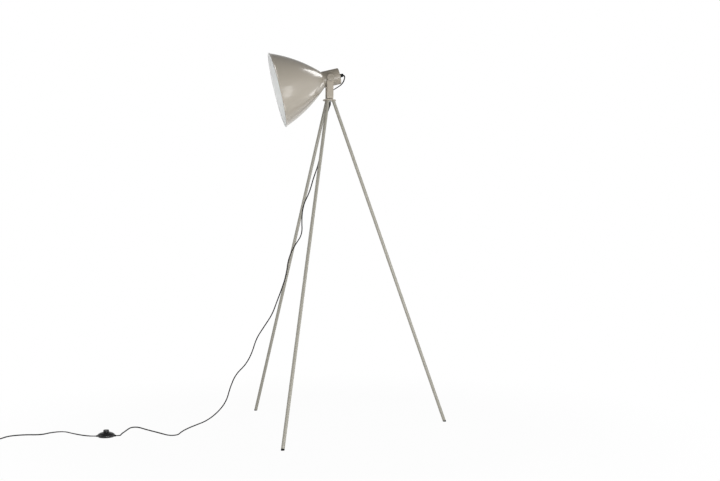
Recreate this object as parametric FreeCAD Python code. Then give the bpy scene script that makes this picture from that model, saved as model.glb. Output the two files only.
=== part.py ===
"""Tripod spotlight floor lamp: spun bell shade, cylindrical socket housing in a U-shaped yoke,
round top plate, three straight tube legs, flat twin flex with a foot switch and a mains plug.

Millimetres, +Z up. The origin is on the floor below the swivel axis, and at rest the shade
points to -X. Every piece is its own solid in its own file.
"""
import FreeCAD
import Part
import math
import os

V = FreeCAD.Vector
os.makedirs("parts", exist_ok=True)

# ---------------------------------------------------------------- driving dimensions
# Tripod
plate_underside_z = 1290.0      # height at which the legs meet the top plate
plate_radius = 26.0
plate_thickness = 4.0
leg_count = 3
leg_turn = 5.2                  # azimuth of the rear leg, in degrees
leg_top_radius = 16.5           # where a leg's axis meets the plate's underside
foot_circle_radius = 482.0      # where a leg's axis meets the floor
leg_tube_radius = 6.5
leg_tube_wall = 1.0
leg_stud_radius = 3.0
leg_stud_length = 26.0
leg_insert_length = 20.0
foot_plug_head = 5.0            # length of the plug's head along the leg, below the tube
foot_plug_depth = 14.0          # how far the plug's stem goes into the tube

# Swivel
nipple_radius = 5.0             # hollow M10 x 1 pipe
nipple_bore = 3.4
nipple_end = 2.0                # pipe that stands past each nut
nut_flats = 14.0
nut_height = 3.0
washer_radius = 9.5
washer_thickness = 1.0
swivel_gap = 0.2                # play above and below the yoke's base
running_fit = 0.06              # radial play of a shaft in its hole
bottom_relief_radius = 4.0
bottom_relief_tip = 3.2
bottom_relief_length = 19.0

# Yoke
strip_width = 25.0
strip_thickness = 2.5
yoke_bend_radius = 4.0          # inner radius of the two bends
pivot_rise = 80.8               # height of the tilt axis above the yoke's underside
tilt = 14.3                     # the shade points this many degrees below level

# Housing
axis_rise = 4.0                 # the shade's axis passes this far above the tilt axis
housing_radius = 32.0
housing_wall = 1.2
housing_front = 25.6            # measured along the shade's axis from the tilt axis
housing_back = -41.7
housing_corner = 2.0            # rounding of the drawn cup's back edge
boss_radius = 8.0
boss_proud = 2.0                # how far a pivot boss stands off the housing's side
tilt_gap = 0.2                  # play between a boss and its friction washer
friction_washer_radius = 9.0
friction_washer_thickness = 1.0

# Knobs
knob_radius = 14.4
knob_thickness = 9.0
knob_chamfer = 1.0
knob_collar_radius = 7.0
knob_collar_length = 1.2
knob_stud_radius = 3.0
knob_stud_reach = 9.0           # how far a stud goes in past the housing's side

# Shade, as distances along its axis from the tilt axis and radii from its axis
shade_wall = 0.8
shade_neck_end = 27.5
shade_flare_start = (31.0, 35.0)
shade_flare_middle = (112.0, 98.1)
shade_flare_end = (211.0, 146.7)
shade_rim_wire = 1.7            # radius of the rolled edge
shade_hole_radius = 20.4

# Lampholder and bulb
holder_body_radius = 19.0
holder_flange_radius = 26.0
holder_flange_thickness = 2.5
holder_skirt_radius = 20.0
holder_skirt_end = 37.0
holder_bore = 15.0
holder_back = -33.0
holder_seat = 2.0               # floor of the holder's well
holder_ring_radius = 26.0
holder_ring_length = 5.0
shell_radius = 13.9
shell_wall = 0.4
shell_length = 22.0
contact_radius = 3.0
contact_height = 4.0
back_nipple_radius = 5.0
back_nipple_bore = 3.4
bulb_cap_radius = 13.2
bulb_cap_length = 24.0
bulb_neck_radius = 15.0
bulb_radius = 30.0
bulb_length = 82.0              # glass beyond the holder's mouth

# Rear cord grip
rear_relief_radius = 6.4
rear_relief_length = 10.5

# Flex: its solid is a round tube as wide as the flat flex
flex = 4.6
flex_r = flex / 2

# Foot switch
switch_x = -842.0
switch_y = -123.0
switch_radius = 32.0
switch_base_radius = 29.0
switch_base_height = 4.0
switch_dome_height = 18.0       # top of the cover above the floor
switch_wall = 1.8
switch_dome_shoulder = 9.0      # height of the cover's widest edge
switch_collar_radius = 12.6
switch_collar_height = 2.0
button_radius = 10.2
button_top = 27.0
button_travel = 3.0
button_gap = 0.4
button_skirt = 6.0              # how far the button reaches below the cover's collar
button_wall = 1.6
spring_wire = 0.6
spring_radius = 5.0
spring_turns = 5
switch_block_length = 13.0
switch_block_width = 10.0
switch_block_height = 5.0
switch_block_seat = 2.5         # height of the block's foot on the base
switch_relief_radius = 3.4
switch_relief_length = 4.0
flex_entry_z = 3.6
screw_radius = 1.6
screw_circle = 20.0
switch_post_radius = 3.2

# Mains plug, lying on the floor
plug_x = -1305.0
plug_y = -118.0                 # back face of the body
plug_width = 26.0
plug_nose_width = 15.0
plug_height = 13.0
plug_length = 35.0
plug_pin_radius = 2.0
plug_pin_length = 19.0
plug_pin_spacing = 18.6
plug_relief_radius = 3.8
plug_relief_length = 18.0

# Put-away coil: two layers, spiralling in and out again
coil_x = -1292.0
coil_y = -204.6
coil_radius = 31.6
coil_pitch = 6.0
coil_layer = 5.4

# ---------------------------------------------------------------- derived places
plate_top = plate_underside_z + plate_thickness
yoke_base_z = plate_top + washer_thickness + swivel_gap
yoke_base_top = yoke_base_z + strip_thickness
pivot_z = yoke_base_z + pivot_rise
upper_washer_z = yoke_base_top + swivel_gap
upper_nut_z = upper_washer_z + washer_thickness
nipple_top = upper_nut_z + nut_height + nipple_end
lower_nut_z = plate_underside_z - nut_height
nipple_bottom = lower_nut_z - nipple_end
bottom_relief_end = nipple_bottom - bottom_relief_length
boss_face = housing_radius + boss_proud
yoke_inner = boss_face + tilt_gap + friction_washer_thickness
yoke_outer = yoke_inner + strip_thickness
coil_z = flex_r
switch_reach = switch_radius + switch_relief_length

# ---------------------------------------------------------------- flex routes, hand-placed
grip_back = -(housing_back - rear_relief_length)
tilt_cos = math.cos(math.radians(tilt))
tilt_sin = math.sin(math.radians(tilt))


def behind_head(distance):
    """Point on the shade's axis, behind the rear cord grip."""
    back = grip_back + distance
    return (back * tilt_cos - axis_rise * tilt_sin, 0,
            pivot_z + back * tilt_sin + axis_rise * tilt_cos)


def hang(x, y, share):
    """Point of the hanging flex, at a share of the height from the floor to the lower cord grip."""
    return (x, y, flex_r + share * (bottom_relief_end - flex_r))


head_loop_route = [
    behind_head(0),
    behind_head(6.5),
    (60.6, 0, pivot_z + 14.2),
    (60.8, 0, pivot_z + 6.3),
    (56.6, 0, pivot_z - 7.5),
    (47.0, 0, pivot_z - 21.0),
    (30.5, 0, pivot_z - 32.5),
    (14.0, 0, pivot_z - 42.5),
    (3.0, 0, nipple_top + 18.0),
    (0, 0, nipple_top + 7.0),
    (0, 0, nipple_top),
]
hanging_route = [
    hang(0, 0, 1),
    hang(0, 0, 0.9763),
    hang(-13, 5, 0.9296),
    hang(-31, 11, 0.8718),
    hang(-41, 15, 0.8204),
    hang(-61, 22, 0.7761),
    hang(-75, 27, 0.7333),
    hang(-101, 36, 0.6906),
    hang(-106, 38, 0.6447),
    hang(-103, 37, 0.5988),
    hang(-135, 48, 0.5616),
    hang(-158, 56, 0.5205),
    hang(-165, 59, 0.4722),
    hang(-182, 65, 0.4279),
    hang(-202, 72, 0.3851),
    hang(-220, 78, 0.3448),
    hang(-252, 90, 0.3052),
    hang(-283, 101, 0.2664),
    hang(-300, 107, 0.2198),
    hang(-325, 116, 0.1818),
    hang(-365, 130, 0.1501),
    hang(-387, 134, 0.1074),
    hang(-401, 126, 0.0662),
    hang(-432, 118, 0.0340),
    hang(-478, 102, 0.0075),
    (-522, 62, flex_r),
    (-545, 8, flex_r),
    (-564, -48, flex_r),
    (-573, -93, flex_r),
    (-579, -125, flex_r),
    (-595, -137, flex_r),
    (-614, -132, flex_r),
    (-637, -102, flex_r),
    (-663, -65, flex_r),
    (-691, -29, flex_r),
    (-718, 9, flex_r),
    (-738, 41, flex_r),
    (-756, 49, flex_r),
    (-771, 38, flex_r),
    (-777, 5, flex_r),
    (-783, -36, flex_r),
    (-789, -72, flex_r),
    (-791.5, -98, flex_r),
    (switch_x + switch_reach + 15.5, switch_y + 10.5, 2.7),
    (switch_x + switch_reach + 11.8, switch_y + 3.6, 3.3),
    (switch_x + switch_reach + 5.5, switch_y, flex_entry_z),
    (switch_x + switch_reach, switch_y, flex_entry_z),
]
supply_route = [
    (switch_x - switch_reach, switch_y, flex_entry_z),
    (switch_x - switch_reach - 18, switch_y, flex_entry_z),
    (-930, -98, flex_r),
    (-973, -57, flex_r),
    (-1012, -10, flex_r),
    (-1056, -24, flex_r),
    (-1087, -70, flex_r),
    (-1147, -59, flex_r),
    (-1203, -79, flex_r),
    (-1219, -134, flex_r),
    (coil_x + coil_radius, -163, flex_r),
    (coil_x + coil_radius, coil_y + flex, coil_z),
]
tail_route = [
    (coil_x - coil_radius + coil_pitch, coil_y + flex, coil_z + coil_layer),
    (coil_x - coil_radius + coil_pitch, -184, 7.2),
    (plug_x - 8, -164, 5.2),
    (plug_x, -149, plug_height / 2),
    (plug_x, plug_y - plug_relief_length, plug_height / 2),
]


# ---------------------------------------------------------------- helpers
def save(name, shape):
    """Write one sub-part; a group of separate pieces is a compound of solids."""
    shape.exportStep("parts/" + name + ".step")
    print("%-22s solids %d  volume %.1f  valid %s"
          % (name, len(shape.Solids), shape.Volume, shape.isValid()))


def disc(radius, z0, z1, x=0.0, y=0.0):
    return Part.makeCylinder(radius, z1 - z0, V(x, y, z0))


def ring(outer, inner, z0, z1, x=0.0, y=0.0):
    return disc(outer, z0, z1, x, y).cut(disc(inner, z0 - 1, z1 + 1, x, y))


def hexagon(flats, z0, z1):
    """Hexagonal prism about the Z axis, two flats facing +X and -X."""
    corner = flats / math.sqrt(3)
    points = [V(corner * math.cos(math.radians(60 * i + 30)),
                corner * math.sin(math.radians(60 * i + 30)), z0) for i in range(7)]
    return Part.Face(Part.makePolygon(points)).extrude(V(0, 0, z1 - z0))


def along_shade(radius, start, end):
    """Cylinder about the shade's axis, before the head is tilted; start is the rear end."""
    return Part.makeCylinder(radius, end - start, V(-start, 0, 0), V(-1, 0, 0))


def about_shade(edges):
    """Solid turned about the shade's axis from a closed outline of edges."""
    face = Part.Face(Part.Wire(edges))
    return face.revolve(V(0, 0, 0), V(1, 0, 0), 360)


def on_shade(distance, radius):
    """Point in the outline's plane: distance along the axis, radius from it."""
    return V(-distance, 0, radius)


def line(a, b):
    return Part.LineSegment(a, b).toShape()


def arc(a, middle, b):
    return Part.Arc(a, middle, b).toShape()


def outline(points):
    """Closed outline of straight edges through (distance, radius) pairs."""
    corners = [on_shade(*p) for p in points]
    corners.append(corners[0])
    return [line(corners[i], corners[i + 1]) for i in range(len(points))]


def to_head(shape):
    """Put a piece that is modelled about the shade's level axis onto the tilted head."""
    placed = shape.copy()
    placed.translate(V(0, 0, axis_rise))
    placed.rotate(V(0, 0, 0), V(0, 1, 0), -tilt)
    placed.translate(V(0, 0, pivot_z))
    return placed


def across(radius, y0, y1):
    """Cylinder about the tilt axis from y0 to y1."""
    return Part.makeCylinder(radius, abs(y1 - y0), V(0, y0, pivot_z), V(0, math.copysign(1, y1 - y0), 0))


def unit(a):
    return a.multiply(1.0 / a.Length)


def end_tangent(start, tangent, end):
    """Tangent at the end of the arc that leaves start along tangent and reaches end."""
    chord = unit(end.sub(start))
    return chord.multiply(2 * tangent.dot(chord)).sub(tangent)


def tangent_arc(start, tangent, end):
    """Arc that leaves start along a unit tangent and reaches end."""
    chord = end.sub(start)
    sideways = chord.sub(V(tangent).multiply(chord.dot(tangent)))
    radius = chord.Length ** 2 / (2 * sideways.Length)
    centre = start.add(unit(sideways).multiply(radius))
    outward = unit(V(tangent).sub(end_tangent(start, tangent, end)))
    return arc(start, centre.add(outward.multiply(radius)), end)


def route_wire(name, route):
    """Straight runs joined by tangent arcs, each arc as large as its two runs allow."""
    points = [V(*p) for p in route]
    edges = []
    radii = []
    at = points[0]
    for i in range(1, len(points) - 1):
        into = points[i].sub(points[i - 1])
        out = points[i + 1].sub(points[i])
        half_turn = into.getAngle(out) / 2
        reach = 0.45 * min(into.Length, out.Length)
        radii.append(reach / math.tan(half_turn))
        into = unit(into)
        out = unit(out)
        before = points[i].sub(V(into).multiply(reach))
        after = points[i].add(V(out).multiply(reach))
        edges.append(line(at, before))
        edges.append(tangent_arc(before, into, after))
        at = after
    edges.append(line(at, points[-1]))
    wire = Part.Wire(edges)
    print("%-22s length %.0f  least radius %.1f = %.1f widths"
          % (name, wire.Length, min(radii), min(radii) / flex))
    return wire


def sweep(wire, radius):
    """Round tube along a wire."""
    first = wire.Edges[0]
    start = first.valueAt(first.FirstParameter)
    heading = first.tangentAt(first.FirstParameter)
    profile = Part.Wire(Part.makeCircle(radius, start, heading))
    return wire.makePipeShell([profile], True, False)


def flex_tube(name, wire):
    tube = sweep(wire, flex_r)
    print("%-22s volume / (section x length) = %.4f"
          % (name, tube.Volume / (math.pi * flex_r ** 2 * wire.Length)))
    return tube


# ---------------------------------------------------------------- tripod
def leg_direction(index):
    """Unit vector down a leg, and the point where its axis meets the plate's underside."""
    turn = math.radians(leg_turn + 360.0 / leg_count * index)
    side = V(math.cos(turn), math.sin(turn), 0)
    top = V(side).multiply(leg_top_radius)
    top.z = plate_underside_z
    foot = V(side).multiply(foot_circle_radius)
    return unit(foot.sub(top)), top, foot


def below_plate(shape):
    """Trim a piece flush with the plate's underside."""
    side = 4 * plate_radius
    block = Part.makeBox(side, side, side, V(-side / 2, -side / 2, plate_underside_z))
    return shape.cut(block)


def leg_pieces(index):
    down, top, foot = leg_direction(index)
    start = top.sub(V(down).multiply(2 * leg_tube_radius))
    length = foot.sub(start).Length - foot_plug_head
    tube = Part.makeCylinder(leg_tube_radius, length, start, down)
    bore_radius = leg_tube_radius - leg_tube_wall
    tube = below_plate(tube.cut(Part.makeCylinder(bore_radius, length, start, down)))
    insert_length = 2 * leg_tube_radius + leg_insert_length
    insert = Part.makeCylinder(bore_radius, insert_length, start, down)
    thread = Part.makeCylinder(leg_stud_radius + running_fit, insert_length, start, down)
    insert = below_plate(insert.cut(thread))
    stud = Part.makeCylinder(leg_stud_radius, 2 * leg_tube_radius + leg_stud_length, start, down)
    stud = below_plate(stud)
    tube_end = start.add(V(down).multiply(length))
    stem_start = tube_end.sub(V(down).multiply(foot_plug_depth))
    stem = Part.makeCylinder(bore_radius, foot_plug_depth, stem_start, down)
    head = Part.makeCylinder(leg_tube_radius, 2 * foot_plug_head, tube_end, down)
    side = 8 * leg_tube_radius
    floor_cut = Part.makeBox(side, side, side, V(foot.x - side / 2, foot.y - side / 2, -side))
    plug = stem.fuse(head).cut(floor_cut).removeSplitter()
    return tube, insert, stud, plug


def top_plate():
    plate = disc(plate_radius, plate_underside_z, plate_top)
    plate = plate.makeFillet(0.6, [e for e in plate.Edges if abs(e.Length - 2 * math.pi * plate_radius) < 0.1])
    return plate.cut(disc(nipple_radius, plate_underside_z - 1, plate_top + 1))


def swivel_nipple():
    return ring(nipple_radius, nipple_bore, nipple_bottom, nipple_top)


def swivel_nuts():
    lower = hexagon(nut_flats, lower_nut_z, plate_underside_z)
    upper = hexagon(nut_flats, upper_nut_z, upper_nut_z + nut_height)
    hole = disc(nipple_radius, nipple_bottom, nipple_top)
    return Part.makeCompound([lower.cut(hole), upper.cut(hole)])


def swivel_washers():
    lower = ring(washer_radius, nipple_radius, plate_top, plate_top + washer_thickness)
    upper = ring(washer_radius, nipple_radius, upper_washer_z, upper_washer_z + washer_thickness)
    return Part.makeCompound([lower, upper])


def bottom_relief():
    cone = Part.makeCone(bottom_relief_tip, bottom_relief_radius, bottom_relief_length,
                         V(0, 0, bottom_relief_end))
    return cone.cut(disc(flex_r, bottom_relief_end - 1, nipple_bottom + 1))


def core_flex():
    """Flex inside the swivel nipple and the cord grip below it."""
    return disc(flex_r, bottom_relief_end, nipple_top)


# ---------------------------------------------------------------- yoke
def yoke():
    """U of flat strip: base under the swivel nut, arms with rounded ends at the tilt axis."""
    def bent(offset, bend):
        low = yoke_base_z + offset
        side = yoke_outer - offset
        diagonal = bend * (1 - math.sqrt(0.5))
        return low, side, diagonal
    outer_low, outer_side, outer_cut = bent(0, yoke_bend_radius + strip_thickness)
    outer_bend = yoke_bend_radius + strip_thickness
    inner_low, inner_side, inner_cut = bent(strip_thickness, yoke_bend_radius)
    top = pivot_z + strip_width / 2

    def at(y, z):
        return V(-strip_width / 2, y, z)
    edges = []
    for sign in (-1, 1):
        edges.append(line(at(sign * outer_side, top), at(sign * outer_side, outer_low + outer_bend)))
        edges.append(arc(at(sign * outer_side, outer_low + outer_bend),
                         at(sign * (outer_side - outer_cut), outer_low + outer_cut),
                         at(sign * (outer_side - outer_bend), outer_low)))
        edges.append(line(at(sign * inner_side, top), at(sign * inner_side, inner_low + yoke_bend_radius)))
        edges.append(arc(at(sign * inner_side, inner_low + yoke_bend_radius),
                         at(sign * (inner_side - inner_cut), inner_low + inner_cut),
                         at(sign * (inner_side - yoke_bend_radius), inner_low)))
        edges.append(line(at(sign * inner_side, top), at(sign * outer_side, top)))
    edges.append(line(at(outer_side - outer_bend, outer_low), at(outer_bend - outer_side, outer_low)))
    edges.append(line(at(inner_side - yoke_bend_radius, inner_low),
                      at(yoke_bend_radius - inner_side, inner_low)))
    profile = Part.Face(Part.Wire(Part.__sortEdges__(edges)))
    strip = profile.extrude(V(strip_width, 0, 0))
    round_end = across(strip_width / 2, -yoke_outer - 1, yoke_outer + 1)
    below = Part.makeBox(strip_width, 2 * yoke_outer + 2, pivot_z - yoke_base_z + 1,
                         V(-strip_width / 2, -yoke_outer - 1, yoke_base_z - 1))
    strip = strip.common(round_end.fuse(below))
    strip = strip.cut(across(knob_stud_radius + running_fit, -yoke_outer - 1, yoke_outer + 1))
    return strip.cut(disc(nipple_radius + running_fit, yoke_base_z - 1, yoke_base_top + 1))


def friction_washers():
    washers = []
    for sign in (-1, 1):
        inner = sign * (boss_face + tilt_gap)
        washer = across(friction_washer_radius, inner, sign * yoke_inner)
        bore = across(knob_stud_radius + running_fit, 0, sign * yoke_outer)
        washers.append(washer.cut(bore))
    return Part.makeCompound(washers)


# ---------------------------------------------------------------- head
def housing():
    """Drawn cup: closed back with a rounded edge, open front against the shade's neck."""
    def cup(radius, back, front, corner):
        bend = corner * (1 - math.sqrt(0.5))
        edges = [
            line(on_shade(back, 0), on_shade(back, radius - corner)),
            arc(on_shade(back, radius - corner), on_shade(back + bend, radius - bend),
                on_shade(back + corner, radius)),
            line(on_shade(back + corner, radius), on_shade(front, radius)),
            line(on_shade(front, radius), on_shade(front, 0)),
            line(on_shade(front, 0), on_shade(back, 0)),
        ]
        return about_shade(edges)
    body = cup(housing_radius, housing_back, housing_front, housing_corner)
    hollow = cup(housing_radius - housing_wall, housing_back + housing_wall, housing_front + 1,
                 housing_corner - housing_wall)
    body = body.cut(hollow)
    body = to_head(body.cut(along_shade(back_nipple_radius, housing_back - 1, 0)))
    return body.cut(across(boss_radius, -boss_face - 1, boss_face + 1))


def pivot_bosses():
    """Threaded bosses set into the housing's sides; their outer faces carry the friction washers."""
    bosses = []
    for sign in (-1, 1):
        boss = across(boss_radius, sign * (housing_radius - knob_stud_reach), sign * boss_face)
        bosses.append(boss.cut(across(knob_stud_radius, 0, sign * (boss_face + 1))))
    return Part.makeCompound(bosses)


def shade():
    """Spun bell with an inward flange at the neck and a rolled rim, as one shell."""
    def offset_inward(point, slope_deg):
        slope = math.radians(slope_deg)
        return (point[0] + shade_wall * math.sin(slope), point[1] - shade_wall * math.cos(slope))
    start_in = offset_inward(shade_flare_start, 42)
    middle_in = offset_inward(shade_flare_middle, 34)
    end_in = offset_inward(shade_flare_end, 22)
    neck_in = housing_radius - shade_wall
    flange_front = housing_front + shade_wall
    edges = [
        line(on_shade(housing_front, shade_hole_radius), on_shade(housing_front, housing_radius)),
        line(on_shade(housing_front, housing_radius), on_shade(shade_neck_end, housing_radius)),
        line(on_shade(shade_neck_end, housing_radius), on_shade(*shade_flare_start)),
        arc(on_shade(*shade_flare_start), on_shade(*shade_flare_middle), on_shade(*shade_flare_end)),
        line(on_shade(*shade_flare_end), on_shade(*end_in)),
        arc(on_shade(*end_in), on_shade(*middle_in), on_shade(*start_in)),
        line(on_shade(*start_in), on_shade(shade_neck_end + 0.3, neck_in)),
        line(on_shade(shade_neck_end + 0.3, neck_in), on_shade(flange_front, neck_in)),
        line(on_shade(flange_front, neck_in), on_shade(flange_front, shade_hole_radius)),
        line(on_shade(flange_front, shade_hole_radius), on_shade(housing_front, shade_hole_radius)),
    ]
    bell = about_shade(edges)
    rim_distance = shade_flare_end[0] + shade_rim_wire / 2
    rim_radius = shade_flare_end[1] + shade_wall / 2
    rim = Part.makeTorus(rim_radius, shade_rim_wire, V(-rim_distance, 0, 0), V(1, 0, 0))
    return to_head(bell.fuse(rim).removeSplitter())


def lampholder_body():
    """Insulating body: barrel, flange behind the shade, skirt through the shade's hole, well."""
    points = [
        (holder_back, back_nipple_radius),
        (holder_back, holder_body_radius - 5),
        (holder_back + 8, holder_body_radius),
        (housing_front - holder_flange_thickness, holder_body_radius),
        (housing_front - holder_flange_thickness, holder_flange_radius),
        (housing_front, holder_flange_radius),
        (housing_front, holder_skirt_radius),
        (holder_skirt_end, holder_skirt_radius),
        (holder_skirt_end, holder_bore),
        (holder_seat, holder_bore),
        (holder_seat, back_nipple_radius),
    ]
    return to_head(about_shade(outline(points)))


def lampholder_ring():
    start = housing_front + shade_wall
    points = [
        (start, holder_skirt_radius),
        (start, holder_ring_radius),
        (start + holder_ring_length, holder_ring_radius - 2),
        (start + holder_ring_length, holder_skirt_radius),
    ]
    return to_head(about_shade(outline(points)))


def lampholder_shell():
    end = holder_seat + contact_height + shell_length
    tube = along_shade(shell_radius, holder_seat, end)
    return to_head(tube.cut(along_shade(shell_radius - shell_wall, holder_seat + 0.5, end + 1))
                   .cut(along_shade(contact_radius + 2, holder_seat - 1, end)))


def lampholder_contact():
    back = holder_seat - 4.0
    stem = along_shade(back_nipple_radius, back, holder_seat)
    tip = along_shade(contact_radius, holder_seat, holder_seat + contact_height)
    return to_head(stem.fuse(tip).removeSplitter())


def back_nipple():
    """Hollow pipe that holds the lampholder to the housing's back and carries the cord grip."""
    start = housing_back - rear_relief_length / 2
    end = holder_back + 5.0
    return to_head(along_shade(back_nipple_radius, start, end)
                   .cut(along_shade(back_nipple_bore, start - 1, end + 1)))


def back_nut():
    nut = hexagon(nut_flats, 0, nut_height)
    nut = nut.cut(disc(back_nipple_radius, -1, nut_height + 1))
    nut.rotate(V(0, 0, 0), V(0, 1, 0), -90)
    nut.translate(V(-(housing_back + housing_wall), 0, 0))
    return to_head(nut)


def rear_relief():
    """Cord grip screwed onto the back nipple outside the housing."""
    end = housing_back - rear_relief_length
    grip = along_shade(rear_relief_radius, end, housing_back)
    edge = 2 * math.pi * rear_relief_radius
    outer = [e for e in grip.Edges if abs(e.Length - edge) < 0.1 and e.CenterOfMass.x > -end - 0.1]
    grip = grip.makeFillet(2.0, outer)
    pipe = along_shade(back_nipple_radius, housing_back - rear_relief_length / 2, housing_back + 1)
    return to_head(grip.cut(pipe).cut(along_shade(flex_r, end - 1, housing_back)))


def bulb_glass():
    base = holder_skirt_end - 3.0
    tip = base + 3.0 + bulb_length
    centre = tip - bulb_radius
    shoulder_angle = math.radians(125)
    shoulder = (centre + bulb_radius * math.cos(shoulder_angle), bulb_radius * math.sin(shoulder_angle))
    half = math.radians(125 / 2)
    middle = (centre + bulb_radius * math.cos(half), bulb_radius * math.sin(half))
    edges = [
        line(on_shade(base, 0), on_shade(base, bulb_cap_radius)),
        line(on_shade(base, bulb_cap_radius), on_shade(base + 10, bulb_neck_radius)),
        line(on_shade(base + 10, bulb_neck_radius), on_shade(*shoulder)),
        arc(on_shade(*shoulder), on_shade(*middle), on_shade(tip, 0)),
        line(on_shade(tip, 0), on_shade(base, 0)),
    ]
    return to_head(about_shade(edges))


def bulb_cap():
    base = holder_skirt_end - 3.0
    seat = holder_seat + contact_height
    screw = along_shade(bulb_cap_radius, base - bulb_cap_length + 4, base)
    button = Part.makeCone(5.0, bulb_cap_radius - 2, base - bulb_cap_length + 4 - seat,
                           V(-seat, 0, 0), V(-1, 0, 0))
    return to_head(screw.fuse(button).removeSplitter())


# ---------------------------------------------------------------- knobs
def knob(sign):
    """Thumb knob on the tilt axis; its collar bears on the yoke's arm."""
    face = sign * (yoke_outer + tilt_gap + knob_collar_length)
    head = across(knob_radius, face, face + sign * knob_thickness)
    rims = [e for e in head.Edges if abs(e.Length - 2 * math.pi * knob_radius) < 0.1]
    head = head.makeChamfer(knob_chamfer, rims)
    collar = across(knob_collar_radius, sign * (yoke_outer + tilt_gap), face)
    bore = across(knob_stud_radius + running_fit, 0, face + sign * (knob_thickness - 3 + running_fit))
    return head.fuse(collar).removeSplitter().cut(bore)


def knob_stud(sign):
    start = sign * (housing_radius - knob_stud_reach + 1)
    end = sign * (yoke_outer + tilt_gap + knob_collar_length + knob_thickness - 3)
    return across(knob_stud_radius, start, end)


# ---------------------------------------------------------------- foot switch
def switch_cord_bores():
    radius = switch_relief_radius
    return Part.makeCylinder(radius, 2 * switch_radius + 20,
                             V(switch_x - switch_radius - 10, switch_y, flex_entry_z), V(1, 0, 0))


def switch_base():
    base = disc(switch_base_radius, 0, switch_base_height, switch_x, switch_y)
    for i in range(3):
        turn = math.radians(90 + 120 * i)
        x = switch_x + screw_circle * math.cos(turn)
        y = switch_y + screw_circle * math.sin(turn)
        base = base.cut(disc(screw_radius, -1, switch_base_height + 1, x, y))
    return base.cut(switch_cord_bores())


def switch_screws():
    screws = []
    for i in range(3):
        turn = math.radians(90 + 120 * i)
        x = switch_x + screw_circle * math.cos(turn)
        y = switch_y + screw_circle * math.sin(turn)
        screws.append(disc(screw_radius, 0.6, switch_base_height + 6, x, y))
    return Part.makeCompound(screws)


def switch_cover():
    """Domed shell with a collar round the button and three screw posts inside."""
    z0 = switch_base_height
    top = switch_dome_height
    flat = switch_collar_radius + 4

    def dome(radius, height, inset):
        middle_r = flat + (radius - flat) * 0.62
        middle_z = switch_dome_shoulder + (height - switch_dome_shoulder) * 0.72
        edges = [
            line(V(inset, 0, z0), V(radius, 0, z0)),
            line(V(radius, 0, z0), V(radius, 0, switch_dome_shoulder)),
            arc(V(radius, 0, switch_dome_shoulder), V(middle_r, 0, middle_z), V(flat, 0, height)),
            line(V(flat, 0, height), V(inset, 0, height)),
            line(V(inset, 0, height), V(inset, 0, z0)),
        ]
        solid = Part.Face(Part.Wire(edges)).revolve(V(0, 0, 0), V(0, 0, 1), 360)
        solid.translate(V(switch_x, switch_y, 0))
        return solid
    hole = button_radius + button_gap
    hollow = dome(switch_radius - switch_wall, top - switch_wall, 0.01)
    shell = dome(switch_radius, top, hole).cut(hollow)
    collar = ring(switch_collar_radius, hole, top - switch_wall, top + switch_collar_height,
                  switch_x, switch_y)
    shell = shell.fuse(collar)
    for i in range(3):
        turn = math.radians(90 + 120 * i)
        x = switch_x + screw_circle * math.cos(turn)
        y = switch_y + screw_circle * math.sin(turn)
        post = ring(switch_post_radius, screw_radius, z0, top, x, y)
        shell = shell.fuse(post.common(dome(switch_radius, top, hole)))
        shell = shell.cut(disc(screw_radius, z0 - 1, z0 + 6, x, y))
    return shell.cut(switch_cord_bores()).removeSplitter()


def switch_button():
    """Hollow push button, open below, guided in the cover's collar."""
    low = switch_dome_height + switch_collar_height - button_skirt
    body = disc(button_radius, low, button_top, switch_x, switch_y)
    rim = [e for e in body.Edges if abs(e.CenterOfMass.z - button_top) < 0.01]
    body = body.makeFillet(1.2, rim)
    return body.cut(disc(button_radius - button_wall, low - 1, button_top - button_wall,
                         switch_x, switch_y))


def switch_mechanism():
    """Contact block on the base, with the spring's seat."""
    def block(length, width, z0, z1):
        corner = V(switch_x - length / 2, switch_y - width / 2, z0)
        return Part.makeBox(length, width, z1 - z0, corner)
    low = switch_base_height + switch_block_seat
    body = block(switch_block_length, switch_block_width, low, low + switch_block_height)
    seat = block(switch_block_length / 2, switch_block_width / 2, switch_base_height, low)
    return body.fuse(seat).removeSplitter()


def switch_spring():
    """Conical return spring between the contact block and the button, ends resting flat."""
    low = switch_base_height + switch_block_seat + switch_block_height + spring_wire
    high = button_top - button_wall - spring_wire
    helix = Part.makeLongHelix((high - low) / spring_turns, high - low, spring_radius)
    wire = Part.Wire(helix.Edges)
    profile = Part.Wire(Part.makeCircle(spring_wire, V(spring_radius, 0, 0), V(0, 1, 0)))
    spring = wire.makePipeShell([profile], True, True)
    spring.translate(V(switch_x, switch_y, low))
    return spring


def switch_reliefs():
    """Two grommets where the flex enters and leaves."""
    grommets = []
    for sign in (-1, 1):
        start = V(switch_x + sign * (switch_radius - 5), switch_y, flex_entry_z)
        inner = Part.makeCylinder(switch_relief_radius, 5, start, V(sign, 0, 0))
        outer = Part.makeCone(switch_relief_radius, flex_r + 0.7, switch_relief_length,
                              V(switch_x + sign * switch_radius, switch_y, flex_entry_z), V(sign, 0, 0))
        bore = Part.makeCylinder(flex_r, 30, V(start.x - sign * 10, switch_y, flex_entry_z), V(sign, 0, 0))
        grommets.append(inner.fuse(outer).cut(bore).removeSplitter())
    return Part.makeCompound(grommets)


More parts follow.
